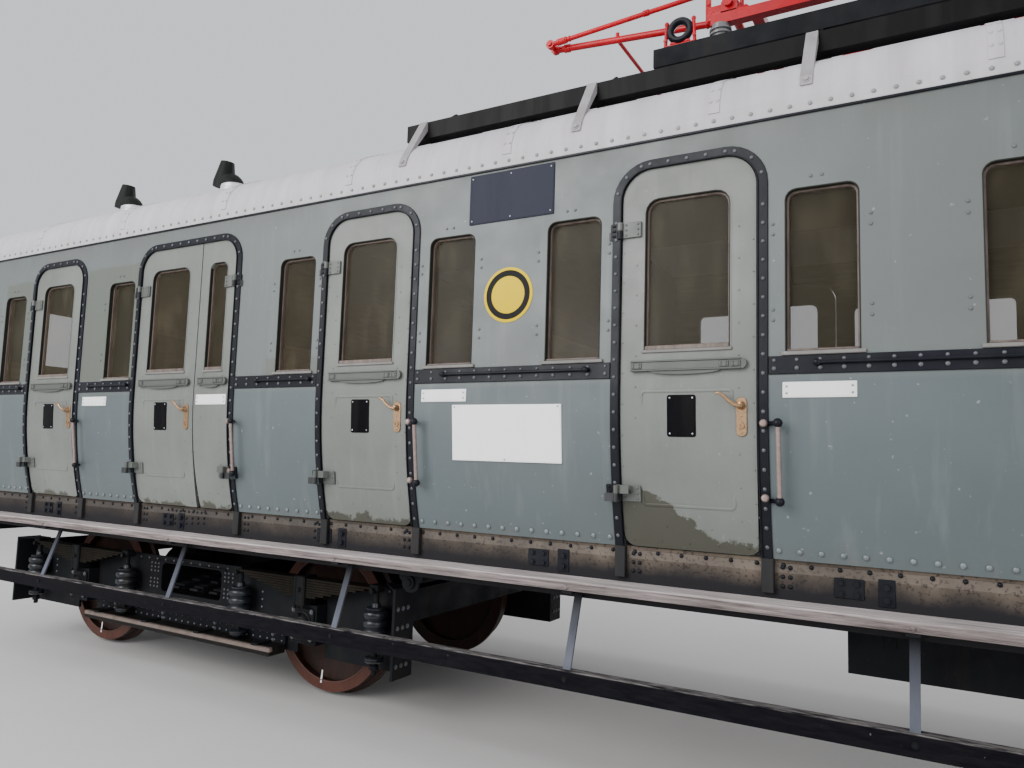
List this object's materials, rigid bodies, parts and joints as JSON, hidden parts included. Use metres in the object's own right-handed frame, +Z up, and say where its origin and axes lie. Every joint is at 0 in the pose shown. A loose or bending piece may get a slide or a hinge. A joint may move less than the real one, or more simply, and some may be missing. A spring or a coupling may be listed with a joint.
{
  "type": "electric passenger railcar with compartment side doors",
  "caption": "Compartment railcar on two bogies with outward side doors, wooden footboards, low step beams and a folded scissor current collector on its arched roof.",
  "frame": {"origin": "under the middle of the car, at the lowest point of the wheel flanges", "axes": "+X along the car, +Z up, +Y to the far side"},
  "size_m": [17.4396, 3, 4.8134],
  "materials": {
    "side_paint": "weathered satin grey-green paint",
    "door_paint": "weathered satin grey-green paint",
    "roof_paint": "weathered light grey paint",
    "roof_gear_black": "dull black paint",
    "cowl_black": "dull black paint",
    "inside_wood": "varnished brown",
    "weathered_wood": "bare grey weathered plank",
    "pane_glass": "clear",
    "insulator_glaze": "dark glaze",
    "red_paint": "gloss red paint",
    "rusty_wheel": "rust brown",
    "running_gear_black": "dull black paint with grime"
  },
  "bodies": {
    "car_body": {"benches": "inside_wood", "buffers": "running_gear_black", "cantrails": "side_paint", "collector_base": "red_paint", "crossmembers": "running_gear_black", "draw_hooks": "running_gear_black", "end_walls": "side_paint", "floor": "inside_wood", "footboards": "weathered_wood", "headstocks": "running_gear_black", "insulators": "insulator_glaze", "partitions": "inside_wood", "roof": "roof_paint", "roof_bearers": "roof_gear_black", "roof_channels": "roof_gear_black", "solebars": "running_gear_black", "step_beams": "running_gear_black", "step_struts": "running_gear_black", "transformer_tank": "running_gear_black", "ventilators": "cowl_black", "wall_panels_far": "side_paint", "wall_panels_near": "side_paint", "window_panes": "pane_glass"},
    "bogie_1": {"bogie_1_axle_boxes": "running_gear_black", "bogie_1_motors": "running_gear_black", "bogie_1_side_plates": "running_gear_black", "bogie_1_springs": "running_gear_black", "bogie_1_transoms": "running_gear_black"},
    "bogie_2": {"bogie_2_axle_boxes": "running_gear_black", "bogie_2_motors": "running_gear_black", "bogie_2_side_plates": "running_gear_black", "bogie_2_springs": "running_gear_black", "bogie_2_transoms": "running_gear_black"},
    "collector_head": {"collector_head": "red_paint"},
    "collector_lower_arms_left": {"collector_lower_arms_left": "red_paint"},
    "collector_lower_arms_right": {"collector_lower_arms_right": "red_paint"},
    "collector_upper_arms_left": {"collector_upper_arms_left": "red_paint"},
    "collector_upper_arms_right": {"collector_upper_arms_right": "red_paint"},
    "door_1_far": {"door_1_far": "door_paint"},
    "door_1_near": {"door_1_near": "door_paint"},
    "door_2_far": {"door_2_far": "door_paint"},
    "door_2_narrow_far": {"door_2_narrow_far": "door_paint"},
    "door_2_narrow_near": {"door_2_narrow_near": "door_paint"},
    "door_2_near": {"door_2_near": "door_paint"},
    "door_3_far": {"door_3_far": "door_paint"},
    "door_3_near": {"door_3_near": "door_paint"},
    "door_4_far": {"door_4_far": "door_paint"},
    "door_4_near": {"door_4_near": "door_paint"},
    "door_5_far": {"door_5_far": "door_paint"},
    "door_5_near": {"door_5_near": "door_paint"},
    "door_6_far": {"door_6_far": "door_paint"},
    "door_6_near": {"door_6_near": "door_paint"},
    "door_7_far": {"door_7_far": "door_paint"},
    "door_7_near": {"door_7_near": "door_paint"},
    "door_8_far": {"door_8_far": "door_paint"},
    "door_8_near": {"door_8_near": "door_paint"},
    "wheelset_1a": {"wheelset_1a": "rusty_wheel"},
    "wheelset_1b": {"wheelset_1b": "rusty_wheel"},
    "wheelset_2a": {"wheelset_2a": "rusty_wheel"},
    "wheelset_2b": {"wheelset_2b": "rusty_wheel"}
  },
  "joints": [
    {"name": "door_1_near_hinge", "type": "hinge", "parent": "car_body", "child": "door_1_near", "pos_m": [-7.30925, -1.468, 1.267], "axis": [0, 0, -1], "range_deg": [0, 90]},
    {"name": "door_1_far_hinge", "type": "hinge", "parent": "car_body", "child": "door_1_far", "pos_m": [-7.30925, 1.468, 1.267], "axis": [0, 0, 1], "range_deg": [0, 90]},
    {"name": "door_2_near_hinge", "type": "hinge", "parent": "car_body", "child": "door_2_near", "pos_m": [-5.88925, -1.468, 1.267], "axis": [0, 0, -1], "range_deg": [0, 90]},
    {"name": "door_2_narrow_near_hinge", "type": "hinge", "parent": "car_body", "child": "door_2_narrow_near", "pos_m": [-4.85425, -1.468, 1.267], "axis": [0, 0, 1], "range_deg": [0, 90]},
    {"name": "door_2_far_hinge", "type": "hinge", "parent": "car_body", "child": "door_2_far", "pos_m": [-5.88925, 1.468, 1.267], "axis": [0, 0, 1], "range_deg": [0, 90]},
    {"name": "door_2_narrow_far_hinge", "type": "hinge", "parent": "car_body", "child": "door_2_narrow_far", "pos_m": [-4.85425, 1.468, 1.267], "axis": [0, 0, -1], "range_deg": [0, 90]},
    {"name": "door_3_near_hinge", "type": "hinge", "parent": "car_body", "child": "door_3_near", "pos_m": [-4.017, -1.468, 1.267], "axis": [0, 0, -1], "range_deg": [0, 90]},
    {"name": "door_3_far_hinge", "type": "hinge", "parent": "car_body", "child": "door_3_far", "pos_m": [-4.017, 1.468, 1.267], "axis": [0, 0, 1], "range_deg": [0, 90]},
    {"name": "door_4_near_hinge", "type": "hinge", "parent": "car_body", "child": "door_4_near", "pos_m": [-2.0395, -1.468, 1.267], "axis": [0, 0, -1], "range_deg": [0, 90]},
    {"name": "door_4_far_hinge", "type": "hinge", "parent": "car_body", "child": "door_4_far", "pos_m": [-2.0395, 1.468, 1.267], "axis": [0, 0, 1], "range_deg": [0, 90]},
    {"name": "door_5_near_hinge", "type": "hinge", "parent": "car_body", "child": "door_5_near", "pos_m": [-0.062, -1.468, 1.267], "axis": [0, 0, -1], "range_deg": [0, 90]},
    {"name": "door_5_far_hinge", "type": "hinge", "parent": "car_body", "child": "door_5_far", "pos_m": [-0.062, 1.468, 1.267], "axis": [0, 0, 1], "range_deg": [0, 90]},
    {"name": "door_6_near_hinge", "type": "hinge", "parent": "car_body", "child": "door_6_near", "pos_m": [1.9155, -1.468, 1.267], "axis": [0, 0, -1], "range_deg": [0, 90]},
    {"name": "door_6_far_hinge", "type": "hinge", "parent": "car_body", "child": "door_6_far", "pos_m": [1.9155, 1.468, 1.267], "axis": [0, 0, 1], "range_deg": [0, 90]},
    {"name": "door_7_near_hinge", "type": "hinge", "parent": "car_body", "child": "door_7_near", "pos_m": [3.893, -1.468, 1.267], "axis": [0, 0, -1], "range_deg": [0, 90]},
    {"name": "door_7_far_hinge", "type": "hinge", "parent": "car_body", "child": "door_7_far", "pos_m": [3.893, 1.468, 1.267], "axis": [0, 0, 1], "range_deg": [0, 90]},
    {"name": "door_8_near_hinge", "type": "hinge", "parent": "car_body", "child": "door_8_near", "pos_m": [6.63775, -1.468, 1.267], "axis": [0, 0, -1], "range_deg": [0, 90]},
    {"name": "door_8_far_hinge", "type": "hinge", "parent": "car_body", "child": "door_8_far", "pos_m": [6.63775, 1.468, 1.267], "axis": [0, 0, 1], "range_deg": [0, 90]},
    {"name": "bogie_1_swivel", "type": "hinge", "parent": "car_body", "child": "bogie_1", "pos_m": [-5.705, 0, 0.918], "axis": [0, 0, 1], "range_deg": [-3, 3]},
    {"name": "wheelset_1a_axle", "type": "hinge", "parent": "bogie_1", "child": "wheelset_1a", "pos_m": [-6.98, 0, 0.528], "axis": [0, 1, 0], "continuous": true},
    {"name": "wheelset_1b_axle", "type": "hinge", "parent": "bogie_1", "child": "wheelset_1b", "pos_m": [-4.43, 0, 0.528], "axis": [0, 1, 0], "continuous": true},
    {"name": "bogie_2_swivel", "type": "hinge", "parent": "car_body", "child": "bogie_2", "pos_m": [5.705, 0, 0.918], "axis": [0, 0, 1], "range_deg": [-3, 3]},
    {"name": "wheelset_2a_axle", "type": "hinge", "parent": "bogie_2", "child": "wheelset_2a", "pos_m": [4.43, 0, 0.528], "axis": [0, 1, 0], "continuous": true},
    {"name": "wheelset_2b_axle", "type": "hinge", "parent": "bogie_2", "child": "wheelset_2b", "pos_m": [6.98, 0, 0.528], "axis": [0, 1, 0], "continuous": true},
    {"name": "collector_raise", "type": "hinge", "parent": "car_body", "child": "collector_lower_arms_left", "pos_m": [-1.65, 0, 4.273], "axis": [0, 1, 0], "range_deg": [0, 40]},
    {"name": "collector_knee_left", "type": "hinge", "parent": "collector_lower_arms_left", "child": "collector_upper_arms_left", "pos_m": [-2.82949, 0, 4.37619], "axis": [0, -1, 0], "range_deg": [0, 90]},
    {"name": "collector_head_tilt", "type": "hinge", "parent": "collector_upper_arms_left", "child": "collector_head", "pos_m": [0, 0, 4.72361], "axis": [0, 1, 0], "range_deg": [0, 45]},
    {"name": "collector_lower_right", "type": "hinge", "parent": "car_body", "child": "collector_lower_arms_right", "pos_m": [1.65, 0, 4.273], "axis": [0, -1, 0], "range_deg": [0, 45]},
    {"name": "collector_knee_right", "type": "hinge", "parent": "collector_lower_arms_right", "child": "collector_upper_arms_right", "pos_m": [2.82949, 0, 4.37619], "axis": [0, 1, 0], "range_deg": [0, 90]}
  ],
  "couplings": [
    {"joint": "collector_knee_left", "follows": "collector_raise", "ratio": 1.545},
    {"joint": "collector_head_tilt", "follows": "collector_raise", "ratio": 0.545},
    {"joint": "collector_lower_right", "follows": "collector_raise", "ratio": 1},
    {"joint": "collector_knee_right", "follows": "collector_raise", "ratio": 1.545}
  ]
}
